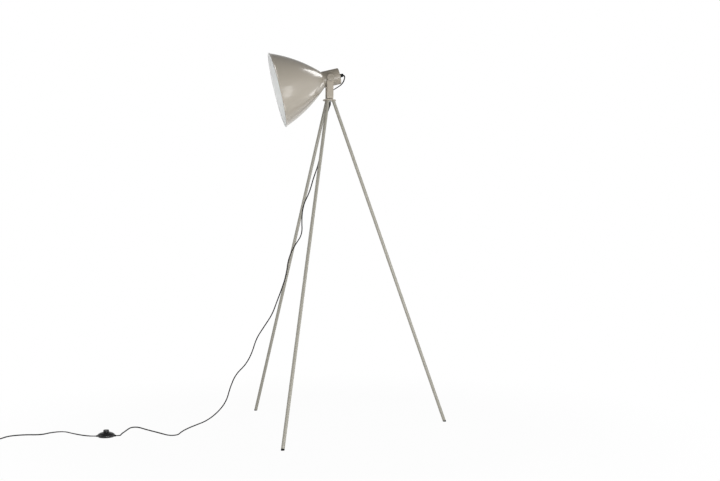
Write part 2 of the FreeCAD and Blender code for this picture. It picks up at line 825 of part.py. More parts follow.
# ---------------------------------------------------------------- plug and coil
def plug_body():
    """Flat two-pin plug body that narrows to the pins, with its tapered bend protector."""
    half = plug_width / 2
    nose = plug_nose_width / 2 + 5
    y1 = plug_y + plug_length
    points = [(-half + 4, plug_y), (half - 4, plug_y), (half, plug_y + 6), (nose, y1), (-nose, y1),
              (-half, plug_y + 6)]
    corners = [V(plug_x + x, y, 0) for x, y in points]
    corners.append(corners[0])
    body = Part.Face(Part.makePolygon(corners)).extrude(V(0, 0, plug_height))
    upright = [e for e in body.Edges if e.BoundBox.ZLength > plug_height - 0.1]
    body = body.makeFillet(2.0, upright)
    relief = Part.makeCone(plug_relief_radius, flex_r + 0.6, plug_relief_length,
                           V(plug_x, plug_y, plug_height / 2), V(0, -1, 0))
    bore = Part.makeCylinder(flex_r, plug_relief_length + 1,
                             V(plug_x, plug_y, plug_height / 2), V(0, -1, 0))
    return body.fuse(relief.cut(bore)).removeSplitter()


def plug_pins():
    pins = []
    for sign in (-1, 1):
        start = V(plug_x + sign * plug_pin_spacing / 2, plug_y + plug_length, plug_height / 2)
        pin = Part.makeCylinder(plug_pin_radius, plug_pin_length, start, V(0, 1, 0))
        tip = [e for e in pin.Edges if e.CenterOfMass.y > start.y + plug_pin_length - 0.1]
        pins.append(pin.makeFillet(0.8, tip))
    return Part.makeCompound(pins)


def coil_wire():
    """Spiral in on the floor, climb one layer in a half turn, spiral out on top."""
    reach = [coil_radius - coil_pitch / 2 * i for i in range(5)]
    sides = [1, -1, 1, -1, 1]
    points = [V(coil_x + s * r, coil_y, coil_z) for s, r in zip(sides, reach)]
    top = coil_z + coil_layer
    inner = reach[-1]
    climb = V(coil_x, coil_y - math.hypot(inner, coil_layer / 2), coil_z + coil_layer / 2)
    points.append(climb)
    points.append(V(coil_x - inner, coil_y, top))
    points.append(V(coil_x + inner + coil_pitch / 2, coil_y, top))
    points.append(V(coil_x - inner - coil_pitch, coil_y, top))
    heading = V(0, -1, 0)
    edges = [line(points[0].add(V(0, flex, 0)), points[0])]
    for a, b in zip(points, points[1:]):
        edges.append(tangent_arc(a, V(heading), b))
        heading = end_tangent(a, V(heading), b)
    edges.append(line(points[-1], points[-1].add(V(0, flex, 0))))
    return Part.Wire(edges)


def least_gap(wire, diameter):
    """Least clear gap of a tube to itself, from points along its line."""
    points = wire.discretize(Distance=diameter / 3)
    apart = int(math.ceil(math.pi * diameter / (diameter / 3)))
    least = 1e9
    for i in range(len(points)):
        for j in range(i + apart, len(points)):
            least = min(least, points[i].distanceToPoint(points[j]))
    return least - diameter


# ---------------------------------------------------------------- build
def build():
    save("top_plate", top_plate())
    save("swivel_nipple", swivel_nipple())
    save("swivel_nuts", swivel_nuts())
    save("swivel_washers", swivel_washers())
    save("bottom_cord_grip", bottom_relief())
    for i in range(leg_count):
        tube, insert, stud, plug = leg_pieces(i)
        save("leg_tube_%d" % (i + 1), tube)
        save("leg_insert_%d" % (i + 1), insert)
        save("leg_stud_%d" % (i + 1), stud)
        save("foot_plug_%d" % (i + 1), plug)
    save("yoke", yoke())
    save("friction_washers", friction_washers())
    save("housing", housing())
    save("pivot_bosses", pivot_bosses())
    save("shade", shade())
    save("lampholder_body", lampholder_body())
    save("lampholder_ring", lampholder_ring())
    save("lampholder_shell", lampholder_shell())
    save("lampholder_contact", lampholder_contact())
    save("back_nipple", back_nipple())
    save("back_nut", back_nut())
    save("rear_cord_grip", rear_relief())
    save("bulb_glass", bulb_glass())
    save("bulb_cap", bulb_cap())
    for name, sign in (("near", -1), ("far", 1)):
        save("tilt_knob_" + name, knob(sign))
        save("tilt_stud_" + name, knob_stud(sign))
    save("switch_base", switch_base())
    save("switch_screws", switch_screws())
    save("switch_cover", switch_cover())
    save("switch_button", switch_button())
    save("switch_mechanism", switch_mechanism())
    save("switch_spring", switch_spring())
    save("switch_grommets", switch_reliefs())
    save("plug_body", plug_body())
    save("plug_pins", plug_pins())
    save("flex_head_loop", flex_tube("head loop", route_wire("head loop", head_loop_route)))
    save("flex_in_nipple", core_flex())
    save("flex_to_switch", flex_tube("to switch", route_wire("to switch", hanging_route)))
    save("flex_to_coil", flex_tube("to coil", route_wire("to coil", supply_route)))
    save("flex_tail", flex_tube("tail", route_wire("tail", tail_route)))
    coil = coil_wire()
    print("coil length %.0f, least gap to itself %.2f" % (coil.Length, least_gap(coil, flex)))
    save("flex_coil", flex_tube("coil", coil))


build()
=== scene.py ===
"""Looks of the tripod spotlight floor lamp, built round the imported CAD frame.

Lengths in this script are millimetres unless a name ends in _m; the scene itself is in metres.
"""

import math

import bmesh
import bpy
from mathutils import Matrix, Vector


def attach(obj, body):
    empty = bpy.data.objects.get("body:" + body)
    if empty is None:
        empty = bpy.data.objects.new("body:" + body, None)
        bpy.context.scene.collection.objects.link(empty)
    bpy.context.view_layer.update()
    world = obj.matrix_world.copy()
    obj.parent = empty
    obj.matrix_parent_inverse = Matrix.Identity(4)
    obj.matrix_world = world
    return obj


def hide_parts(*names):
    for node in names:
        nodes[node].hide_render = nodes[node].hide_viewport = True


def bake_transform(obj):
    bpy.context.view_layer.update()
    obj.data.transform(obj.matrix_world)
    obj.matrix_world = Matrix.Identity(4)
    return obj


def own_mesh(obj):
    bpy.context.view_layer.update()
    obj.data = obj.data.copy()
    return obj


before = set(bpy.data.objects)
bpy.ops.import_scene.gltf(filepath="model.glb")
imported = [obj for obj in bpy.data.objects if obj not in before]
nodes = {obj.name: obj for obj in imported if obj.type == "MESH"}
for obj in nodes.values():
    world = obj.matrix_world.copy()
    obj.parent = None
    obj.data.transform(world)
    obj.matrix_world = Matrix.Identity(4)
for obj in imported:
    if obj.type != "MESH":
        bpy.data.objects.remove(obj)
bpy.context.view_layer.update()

MM = 0.001

# ---------------------------------------------------------------- sizes shared with the CAD
PLATE_UNDERSIDE = 1290.0
PLATE_TOP = 1294.0
PLATE_RADIUS = 26.0
YOKE_BASE = 1295.2
STRIP = 2.5
STRIP_WIDTH = 25.0
UPPER_WASHER = 1297.9
UPPER_NUT = 1298.9
NUT_HEIGHT = 3.0
NUT_FLATS = 14.0
NIPPLE_TOP = 1303.9
NIPPLE_BOTTOM = 1285.0
GRIP_END = 1266.0
PIVOT_Z = 1376.0
TILT = 14.3
AXIS_RISE = 4.0
YOKE_INNER = 35.2
YOKE_OUTER = 37.7
YOKE_BEND = 4.0
HOUSING_RADIUS = 32.0
HOUSING_FRONT = 25.6
HOUSING_BACK = -41.7
HOUSING_WALL = 1.2
SHADE_WALL = 0.8
SHADE_ARC = ((31.0, 35.0), (112.0, 98.1), (211.0, 146.7))
SHADE_BEAD = 1.7
GLAND_LENGTH = 17.0
HOLDER_END = 37.0
LEG_TURN = 5.2
LEG_TOP_RADIUS = 16.5
FOOT_RADIUS = 482.0
LEG_RADIUS = 6.5
LEG_WALL = 1.0
FOOT_PLUG_HEAD = 5.0
FOOT_PLUG_REACH = 12.0
BULB_RADIUS = 30.0
BULB_REACH = 82.0
SWITCH_X = -842.0
SWITCH_Y = -123.0
SWITCH_REACH = 36.0
FLEX = 4.6
FLEX_R = FLEX / 2
PLUG_X = -1305.0
PLUG_Y = -118.0
PLUG_AXIS = 6.5
PIN_SPREAD = 9.3
COIL_X = -1292.0
COIL_Y = -204.6
COIL_RADIUS = 31.6
COIL_PITCH = 6.0
COIL_LAYER = 5.4
COIL_LOW_TURNS = 2.0
FLEX_ENTRY = 3.6

HEAD_TILTED = (Matrix.Translation((0, 0, PIVOT_Z)) @ Matrix.Rotation(math.radians(-TILT), 4, "Y")
               @ Matrix.Translation((0, 0, AXIS_RISE)) @ Matrix.Rotation(math.radians(-90), 4, "Y"))
UPRIGHT = Matrix.Identity(4)

# Camera of the photograph, in metres: its place, its sideways and forward lines, its roll in degrees
EYE = (-0.3696, -3.7564, 0.7031)
EYE_RIGHT = (0.99146, -0.13042, 0.0)
EYE_FORWARD = (0.13042, 0.99142, 0.00855)
EYE_ROLL = 0.18
EYE_LENS_MM = 47.5

# Room and light: radiance that the surround gives off, and where the floor's shadow fades out
WALL_LIGHT = 0.72
CEILING_LIGHT = 0.16
CEILING_SHINE = 0.25
FLOOR_GLOW = 0.96
FLOOR_NEAR_M = 0.8
FLOOR_FAR_M = 1.6

# Softboxes: name, azimuth and elevation in degrees, distance, width and height in metres, radiance, roll.
# The first three make the shade's highlights; the others fill its front, its underside and its inside.
SOFTBOXES = (
    ("high_strip", 76, 43, 2.8, 0.75, 1.2, 7.5, -30),
    ("low_strip", 77, -11, 2.4, 0.5, 0.9, 4.2, -10),
    ("narrow_softbox", 128, -5, 3.0, 0.5, 1.6, 3.0, 15),
    ("front_fill", 195, -12, 3.2, 2.4, 1.4, 1.2, 0),
    ("low_fill", 164, -23, 3.0, 2.6, 0.4, 18.0, 0),
    ("left_fill", 272, 14, 3.0, 1.4, 1.8, 2.4, 0),
)


# ---------------------------------------------------------------- camera
def make_camera():
    """View of the photograph: eye about 0.7 m up, 3.8 m from the lamp, turned 7.5 degrees right."""
    right = Vector(EYE_RIGHT)
    forward = Vector(EYE_FORWARD).normalized()
    up = right.cross(forward)
    roll = math.radians(EYE_ROLL)
    c, s = math.cos(roll), math.sin(roll)
    side = right * c + up * s
    top = up * c - right * s
    data = bpy.data.cameras.new("camera")
    data.sensor_width = 36.0
    data.lens = EYE_LENS_MM
    data.clip_end = 50.0
    camera = bpy.data.objects.new("camera", data)
    rotation = Matrix((side, top, -forward)).transposed().to_4x4()
    camera.matrix_world = Matrix.Translation(EYE) @ rotation
    bpy.context.scene.collection.objects.link(camera)
    bpy.context.scene.camera = camera


# ---------------------------------------------------------------- materials
def linear(colour):
    """sRGB hex to linear RGBA."""
    parts = [int(colour[i:i + 2], 16) / 255 for i in (1, 3, 5)]
    return tuple(p / 12.92 if p <= 0.04045 else ((p + 0.055) / 1.055) ** 2.4 for p in parts) + (1.0,)


def add(tree, kind, inputs=None, **settings):
    """Add one node; settings are its properties, and inputs gives sockets a value or a link."""
    made = tree.nodes.new("ShaderNode" + kind)
    for key, value in settings.items():
        setattr(made, key, value)
    for key, value in (inputs or {}).items():
        if isinstance(value, bpy.types.NodeSocket):
            tree.links.new(value, made.inputs[key])
        else:
            made.inputs[key].default_value = value
    return made


def per_mm(size):
    """Texture scale for a pattern that repeats every so many millimetres."""
    return 1000.0 / size


def surface(name, colour, roughness, shade=None, blotch=60.0, grain=1.2, grain_height=0.0,
            uneven=0.04, **sockets):
    """Principled material: two close colours in soft blotches, uneven gloss and a fine grain.

    blotch, grain and grain_height are millimetres on the real thing. The blotches show in the photograph's
    view, where a pixel is 4 mm; the grains are finer than that and show close up.
    """
    material = bpy.data.materials.new(name)
    material.use_nodes = True
    tree = material.node_tree
    tree.nodes.clear()
    place = add(tree, "TexCoord").outputs["Object"]
    soft = add(tree, "TexNoise", {"Vector": place, "Scale": per_mm(blotch), "Detail": 3.0})
    fine = add(tree, "TexNoise", {"Vector": place, "Scale": per_mm(grain), "Detail": 2.0})
    tint = add(tree, "Mix", {0: soft.outputs["Fac"], 6: linear(colour), 7: linear(shade or colour)},
               data_type="RGBA")
    gloss = add(tree, "MapRange", {"Value": soft.outputs["Fac"], "To Min": roughness - uneven,
                                   "To Max": roughness + uneven})
    bsdf = add(tree, "BsdfPrincipled", {"Base Color": tint.outputs[2], "Roughness": gloss.outputs[0]})
    for socket, value in sockets.items():
        bsdf.inputs[socket.replace("_", " ")].default_value = value
    if grain_height:
        bump = add(tree, "Bump", {"Height": fine.outputs["Fac"], "Distance": grain_height * MM,
                                  "Strength": 0.6})
        tree.links.new(bump.outputs[0], bsdf.inputs["Normal"])
    out = add(tree, "OutputMaterial", {"Surface": bsdf.outputs[0]})
    out.is_active_output = True
    return material


# Gloss enamel, sprayed and stoved on spun steel: even colour, wet highlights, faint orange peel 2.5 mm apart
stoved_enamel = surface("stoved_enamel_taupe", "#9d968a", 0.24, "#999286", 90, 2.5, 0.008, 0.02,
                        IOR=1.5, Coat_Weight=0.6, Coat_Roughness=0.07)
# White stoved enamel inside the shade: spreads the bulb's light, so it is nearly matt
stoved_white = surface("stoved_white", "#f8f9f8", 0.4, "#f5f6f5", 80, 1.5, 0.01)
# Satin epoxy powder coat on drawn steel and strip: soft sheen over a fine 0.8 mm texture
powder_coat = surface("powder_coat_taupe", "#9f978a", 0.38, "#9a9285", 40, 0.8, 0.02)
# Satin epoxy powder coat of the housing and knobs: a darker copy of the same coat, which paints in the shade
# these parts show
powder_coat_darkened_for_shade = surface("powder_coat_darkened_for_shade", "#8c8579", 0.36, "#888175", 40, 0.8, 0.02)
# Satin epoxy powder coat on the leg tube: a copy of the same coat, darker and cooler in tone, almost smooth
powder_coat_leg = surface("powder_coat_leg", "#918e84", 0.42, "#8e8b81", 120, 0.8, 0.004)
# Zinc-plated steel of the pipe, studs, nuts, washers, screws and spring: bright, slightly blue
zinc_plated = surface("zinc_plated_steel", "#b9bcbd", 0.28, "#a7abac", 6, 0.4, 0.01, Metallic=1.0)
# Turned steel of the pivot bosses, left bare: grey and bright with a little spread
turned_steel = surface("turned_steel", "#a9a6a2", 0.32, "#98958f", 5, 0.3, 0.01, Metallic=1.0)
# Nickel-plated brass of the contacts and the plug's pins: pale, warm and mirror-like
nickel_plated = surface("nickel_plated_brass", "#c9c5b6", 0.24, "#bdb8a6", 4, 0.3, 0.005, Metallic=1.0)
# Soft PVC of the flex, extruded: nearly black with a dull sheen and faint drawing marks
extruded_pvc = surface("extruded_pvc_black", "#070707", 0.6, "#0b0b0b", 15, 1.0, 0.02,
                       Specular_IOR_Level=0.06)
# Moulded nylon of the cord grips and foot plugs: spark-eroded texture of 0.5 mm
moulded_nylon = surface("moulded_nylon", "#0a0a0b", 0.55, "#0f0f10", 8, 0.5, 0.03, Specular_IOR_Level=0.12)
# Moulded ABS of the foot switch: gloss faces on a dark body
moulded_abs = surface("moulded_abs", "#101011", 0.3, "#151516", 12, 0.5, 0.01, Specular_IOR_Level=0.35)
# Phenolic resin of the lampholder: hard, dark brown-black, pressed
pressed_phenolic = surface("pressed_phenolic_black", "#1d1a18", 0.34, "#26211e", 10, 0.6, 0.01)
# Glass-filled nylon of the friction washers, moulded: dark grey and dull
moulded_glass_nylon = surface("moulded_glass_nylon", "#2a2a2a", 0.55, "#303030", 5, 0.5, 0.02)
# Opal-coated blown glass of the bulb: milk white, soft under a clear gloss
blown_opal_glass = surface("blown_opal_glass", "#f3f1ea", 0.12, "#efede6", 50, 1.0, 0.0, 0.02, IOR=1.5,
                           Subsurface_Weight=0.35, Subsurface_Scale=0.008)
# Pressed aluminium of the bulb's screw cap: light grey metal with a soft shine
pressed_aluminium = surface("pressed_aluminium", "#c6c7c6", 0.3, "#b6b7b6", 6, 0.4, 0.01, Metallic=1.0)


# ---------------------------------------------------------------- mesh helpers
def piece(name, vertices, faces, materials, body, slot, replaces=(), index=None, sharp=35.0):
    """Make a mesh piece from millimetres, smooth below the sharp angle, riding on a CAD body."""
    mesh = bpy.data.meshes.new(name)
    mesh.from_pydata([Vector(v) * MM for v in vertices], [], faces)
    for material in materials:
        mesh.materials.append(material)
    if index:
        mesh.polygons.foreach_set("material_index", index)
    bm = bmesh.new()
    bm.from_mesh(mesh)
    bmesh.ops.remove_doubles(bm, verts=bm.verts, dist=1e-6)
    bmesh.ops.recalc_face_normals(bm, faces=bm.faces)
    bm.to_mesh(mesh)
    bm.free()
    mesh.shade_smooth()
    mesh.set_sharp_from_angle(angle=math.radians(sharp))
    made = bpy.data.objects.new(name, mesh)
    bpy.context.scene.collection.objects.link(made)
    if body:
        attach(made, body)
    if replaces:
        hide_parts(*replaces)
    return made


def turned_shape(profile, place=UPRIGHT, segments=64, ripple=None, spin=0.0):
    """Vertices and faces of a closed outline of (radius, height) turned about the local Z axis.

    ripple(angle, point number) gives what is added to the radius there.
    """
    vertices, faces = [], []
    count = len(profile)
    for k in range(segments):
        angle = 2 * math.pi * k / segments
        for n, (radius, height) in enumerate(profile):
            r = radius + (ripple(angle, n) if ripple and radius > 0 else 0)
            vertices.append(place @ Vector((r * math.cos(angle + spin), r * math.sin(angle + spin), height)))
    for k in range(segments):
        a, b = k * count, (k + 1) % segments * count
        for n in range(count):
            m = (n + 1) % count
            if profile[n][0] <= 1e-9 and profile[m][0] <= 1e-9:
                continue
            ring = [a + n, b + n, b + m, a + m]
            if profile[n][0] <= 1e-9:
                ring = [a + n, b + m, a + m]
            elif profile[m][0] <= 1e-9:
                ring = [a + n, b + n, a + m]
            faces.append(ring)
    return vertices, faces


def turned(name, profile, material, body, slot, replaces=(), place=UPRIGHT, segments=64, ripple=None,
           sharp=35.0):
    """Piece of one material turned from a closed outline of (radius, height)."""
    vertices, faces = turned_shape(profile, place, segments, ripple)
    return piece(name, vertices, faces, [material], body, slot, replaces, sharp=sharp)


def skin(rings, closed=False):
    """Vertices and faces over a row of equal rings: closed into a loop, or with its ends capped."""
    size, count = len(rings[0]), len(rings)
    vertices = [point for ring in rings for point in ring]
    faces = []
    for i in range(count if closed else count - 1):
        a, b = i * size, (i + 1) % count * size
        for k in range(size):
            m = (k + 1) % size
            faces.append([a + k, a + m, b + m, b + k])
    if not closed:
        faces.append(list(range(size))[::-1])
        faces.append([(count - 1) * size + k for k in range(size)])
    return vertices, faces


def together(shapes):
    """Join several (vertices, faces) into one."""
    vertices, faces = [], []
    for some_vertices, some_faces in shapes:
        first = len(vertices)
        vertices += some_vertices
        faces += [[first + i for i in face] for face in some_faces]
    return vertices, faces


def rounded(corners, steps=4):
    """Outline of (radius, height, rounding) corners, each rounded by an arc of that radius."""
    points = []
    count = len(corners)
    for i, (x, y, rounding) in enumerate(corners):
        here = Vector((x, y))
        if rounding <= 0:
            points.append((x, y))
            continue
        before = (Vector(corners[i - 1][:2]) - here).normalized()
        after = (Vector(corners[(i + 1) % count][:2]) - here).normalized()
        half = before.angle(after) / 2
        reach = rounding / math.tan(half)
        middle = here + (before + after).normalized() * (rounding / math.sin(half))
        start, end = here + before * reach, here + after * reach
        for k in range(steps + 1):
            share = k / steps
            along = (start - middle).normalized() * math.sin((1 - share) * (math.pi - 2 * half))
            along += (end - middle).normalized() * math.sin(share * (math.pi - 2 * half))
            points.append(tuple(middle + along.normalized() * rounding))
    return points


def arc_points(first, second, third, count):
    """Points on the arc through three points."""
    a, b, c = Vector(first), Vector(second), Vector(third)
    d = 2 * (a.x * (b.y - c.y) + b.x * (c.y - a.y) + c.x * (a.y - b.y))
    aa, bb, cc = a.length_squared, b.length_squared, c.length_squared
    ux = (aa * (b.y - c.y) + bb * (c.y - a.y) + cc * (a.y - b.y)) / d
    uy = (aa * (c.x - b.x) + bb * (a.x - c.x) + cc * (b.x - a.x)) / d
    centre = Vector((ux, uy))
    radius = (a - centre).length
    start = math.atan2(a.y - uy, a.x - ux)
    end = math.atan2(c.y - uy, c.x - ux)
    points = []
    for k in range(count + 1):
        angle = start + (end - start) * k / count
        points.append((ux + radius * math.cos(angle), uy + radius * math.sin(angle)))
    return points, radius, centre


def thread(radius, start, end, pitch, depth):
    """Zigzag outline of a screw thread drawn as rings, from start to end height."""
    turns = max(1, int(abs(end - start) / pitch))
    step = (end - start) / turns
    points = []
    for k in range(turns):
        points.append((radius - depth, start + step * k))
        points.append((radius, start + step * (k + 0.5)))
    points.append((radius - depth, end))
    return points


# ---------------------------------------------------------------- flex
# Control points of the flex's free stretches. They are the points of the CAD,
# but for a shift of up to 10 mm in the first 90 mm below the lower grip, which follows the photograph.
HEAD_LOOP = [
    (49.6, 0, 1392.8), (55.9, 0, 1394.4), (60.6, 0, 1390.2), (60.8, 0, 1382.3), (56.6, 0, 1368.5),
    (47.0, 0, 1355.0), (30.5, 0, 1343.5), (14.0, 0, 1333.5), (3.0, 0, 1321.9), (0, 0, 1310.9),
    (0, 0, NIPPLE_TOP),
]
TO_SWITCH = [
    (0, 0, GRIP_END), (-2.6, 0, 1257), (-9.8, 1, 1238), (-19, 7, 1177), (-31, 11, 1104),
    (-41, 15, 1039), (-61, 22, 983), (-75, 27, 929), (-101, 36, 875), (-106, 38, 817),
    (-103, 37, 759), (-135, 48, 712), (-158, 56, 660), (-165, 59, 599), (-182, 65, 543),
    (-202, 72, 489), (-220, 78, 438), (-252, 90, 388), (-283, 101, 339), (-300, 107, 280),
    (-325, 116, 232), (-365, 130, 192), (-387, 134, 138), (-401, 126, 86), (-432, 118, 45.3),
    (-478, 102, 11.8), (-522, 62, FLEX_R), (-545, 8, FLEX_R), (-564, -48, FLEX_R), (-573, -93, FLEX_R),
    (-579, -125, FLEX_R), (-595, -137, FLEX_R), (-614, -132, FLEX_R), (-637, -102, FLEX_R),
    (-663, -65, FLEX_R), (-691, -29, FLEX_R), (-718, 9, FLEX_R), (-738, 41, FLEX_R),
    (-756, 49, FLEX_R), (-771, 38, FLEX_R), (-777, 5, FLEX_R), (-783, -36, FLEX_R),
    (-789, -72, FLEX_R), (-791.5, -98, FLEX_R), (-790.5, -112.5, 2.7), (-794.2, -119.4, 3.3),
    (-800.5, SWITCH_Y, FLEX_ENTRY), (SWITCH_X + SWITCH_REACH, SWITCH_Y, FLEX_ENTRY),
]
TO_COIL = [
    (SWITCH_X - SWITCH_REACH, SWITCH_Y, FLEX_ENTRY), (-896, SWITCH_Y, FLEX_ENTRY),
    (-930, -98, FLEX_R), (-973, -57, FLEX_R),
    (-1012, -10, FLEX_R), (-1056, -24, FLEX_R), (-1087, -70, FLEX_R), (-1147, -59, FLEX_R),
    (-1203, -79, FLEX_R), (-1219, -134, FLEX_R), (COIL_X + COIL_RADIUS, -163, FLEX_R),
]
TAIL = [
    (COIL_X - COIL_RADIUS + COIL_PITCH, -184, 7.2), (PLUG_X - 8, -164, 5.2), (PLUG_X, -149, PLUG_AXIS),
    (PLUG_X, PLUG_Y - 18, PLUG_AXIS),
]

# How the oval flex lies over, as (share of its length, degrees from flat): it turns slowly as real flex does
HEAD_TWIST = [(0, 0), (0.45, 0), (0.75, 75), (1, 90)]
SWITCH_TWIST = [
    (0, 0), (0.05, 70), (0.15, 90), (0.2, 10), (0.23, 10), (0.28, 85), (0.33, 20), (0.4, 60), (0.5, 90),
    (0.6, 65), (0.72, 100), (0.84, 60), (1, 90),
]
COIL_TWIST = [
    (0, 0), (0.04, 65), (0.09, 50), (0.14, 0), (0.2, 60), (0.25, 90), (0.36, 85), (0.44, 0), (1, 0),
]


def coil_points():
    """Control points of the put-away coil: two turns in on the floor, a climb, and out again on top."""
    points = []
    per_turn = 12
    for k in range(int(COIL_LOW_TURNS * per_turn) + 1):
        share = k / per_turn
        points.append((COIL_RADIUS - COIL_PITCH * share, -2 * math.pi * share, FLEX_R))
    inner = COIL_RADIUS - COIL_PITCH * COIL_LOW_TURNS
    widen = COIL_PITCH / 2
    high = FLEX_R + COIL_LAYER
    half_turns = ((inner, 0, FLEX_R, COIL_LAYER), (inner, widen, high, 0), (inner + widen, widen, high, 0))
    for half, (radius, growth, height, climb) in enumerate(half_turns):
        for k in range(1, per_turn // 2 + 1):
            share = 2 * k / per_turn
            turn = -2 * math.pi * (COIL_LOW_TURNS + half / 2 + share / 2)
            points.append((radius + growth * share, turn, height + climb * share))
    swell = 1 / math.cos(math.pi / per_turn) ** 0.5
    return [(COIL_X + r * swell * math.cos(t), COIL_Y + r * swell * math.sin(t), z) for r, t, z in points]


def spline_points(route):
    """Points along the smooth NURBS line through a route, in metres."""
    curve = bpy.data.curves.new("route", "CURVE")
    curve.dimensions = "3D"
    curve.resolution_u = 10
    spline = curve.splines.new("NURBS")
    spline.points.add(len(route) - 1)
    for point, (x, y, z) in zip(spline.points, route):
        point.co = (x * MM, y * MM, z * MM, 1.0)
    spline.order_u = 3
    spline.use_endpoint_u = True
    holder = bpy.data.objects.new("route", curve)
    mesh = bpy.data.meshes.new_from_object(holder)
    points = [v.co.copy() for v in mesh.vertices]
    bpy.data.objects.remove(holder)
    bpy.data.curves.remove(curve)
    bpy.data.meshes.remove(mesh)
    return points


# Outline of the oval twin flex, width 4.6 and thickness 3.6: two round cores side by side
CORE_RADIUS = 1.8
CORE_OFFSET = 0.5
TWIN = []
for k in range(9):
    angle = math.radians(-75 + 150 * k / 8)
    TWIN.append((CORE_OFFSET + CORE_RADIUS * math.cos(angle), CORE_RADIUS * math.sin(angle)))
TWIN += [(-x, -y) for x, y in TWIN]


def flex_piece(name, route, body, replaces, twist):
    """Oval twin flex swept along its route; twist(share) turns its width about its line."""
    points = spline_points(route)
    count = len(points)
    lengths = [0.0]
    for a, b in zip(points, points[1:]):
        lengths.append(lengths[-1] + (b - a).length)
    rings = []
    width = Vector((0, 1, 0))
    for i, point in enumerate(points):
        ahead = points[min(i + 1, count - 1)] - points[max(i - 1, 0)]
        ahead.normalize()
        width = (width - ahead * width.dot(ahead)).normalized()
        across = Matrix.Rotation(twist(lengths[i] / lengths[-1]), 3, ahead) @ width
        thick = ahead.cross(across)
        rings.append([point / MM + across * x + thick * y for x, y in TWIN])
    made = piece(name, *skin(rings), [extruded_pvc], body, "black_rubber", replaces, sharp=60)
    return made


def gentle_twist(places):
    """Twist that eases from one (share, degrees) place to the next."""
    def twist(share):
        for (s0, d0), (s1, d1) in zip(places, places[1:]):
            if share <= s1:
                t = (share - s0) / (s1 - s0)
                t = t * t * (3 - 2 * t)
                return math.radians(d0 + (d1 - d0) * t)
        return math.radians(places[-1][1])
    return twist


# ---------------------------------------------------------------- foot switch
def make_switch():
    """Round foot switch: undercut base, domed cover with a collar, ribbed push button, grommets."""
    place = Matrix.Translation((SWITCH_X, SWITCH_Y, 0))
    base = turned("switch_base_tray", rounded([(0, 0, 0), (28.6, 0, 0.5), (28.9, 4.0, 0.2), (0, 4.0, 0)]),
                  moulded_abs, "stand", "black_plastic", ["switch_base"], place, 96)
    dome = arc_points((31.6, 8.6), (26.0, 13.2), (15.4, 16.9), 12)[0]
    profile = [(29.0, 4.05), (31.2, 4.05), (31.8, 4.7), (31.9, 7.6)] + dome
    profile += [(13.9, 17.2), (13.1, 17.6), (12.9, 18.2), (12.4, 18.6), (11.4, 18.6), (11.0, 18.1),
                (11.0, 15.4), (14.0, 15.0)]
    profile += [(24.6, 12.2), (29.4, 8.2), (29.9, 6.0)]
    cover = turned("switch_dome", profile, moulded_abs, "stand", "black_plastic", ["switch_cover"], place,
                   128)
    ribs = 30

    def ribbed(angle, n):
        return 0.12 * math.cos(ribs * angle) if 2 <= n <= 6 else 0
    push = [(0, 24.6), (0, 25.2), (8.0, 25.2), (8.4, 25.6), (9.0, 25.9), (9.8, 25.8), (10.35, 25.2),
            (10.5, 20.5), (10.55, 14.0), (9.0, 14.0), (9.0, 24.6)]
    button = turned("switch_push_button", push, moulded_abs, "switch_button", "black_plastic",
                    ["switch_button"], place, 180, ribbed)
    grips = []
    for sign in (-1, 1):
        turn = Matrix.Rotation(math.radians(90 * sign), 4, "Y")
        at = Matrix.Translation((SWITCH_X + sign * 27, SWITCH_Y, FLEX_ENTRY)) @ turn
        outline = [(2.3, 0), (3.4, 0), (3.4, 5.2)]
        for k in range(2):
            start = 5.5 + 1.5 * k
            r = 3.35 - 0.15 * k
            outline += [(r, start), (r, start + 0.8), (r - 0.35, start + 1.0), (r - 0.35, start + 1.4)]
        outline += [(3.05, 8.7), (2.8, 9.0), (2.3, 9.0)]
        grips.append(turned_shape(outline, at, 40))
    vertices, faces = together(grips)
    grommets = piece("switch_bend_grips", vertices, faces, [moulded_nylon], "stand", "black_rubber",
                     ["switch_grommets"])
    return [base, cover, button, grommets, make_spring()]


def make_spring():
    """Round-wire return spring under the button, drawn at its rest length."""
    low, high, coil_radius, wire, turns = 12.1, 24.8, 5.0, 0.6, 5
    steps, around = 28 * turns, 8
    rings = []
    for k in range(steps + 1):
        angle = 2 * math.pi * turns * k / steps
        out = Vector((math.cos(angle), math.sin(angle), 0))
        middle = Vector((SWITCH_X, SWITCH_Y, low + (high - low) * k / steps)) + out * coil_radius
        rings.append([])
        for j in range(around):
            turn = 2 * math.pi * j / around
            rings[-1].append(middle + out * (wire * math.cos(turn)) + Vector((0, 0, wire * math.sin(turn))))
    spring = piece("switch_return_spring", *skin(rings), [zinc_plated], "stand", "zinc_steel",
                   ["switch_spring"], sharp=60)
    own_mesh(spring)
    return spring


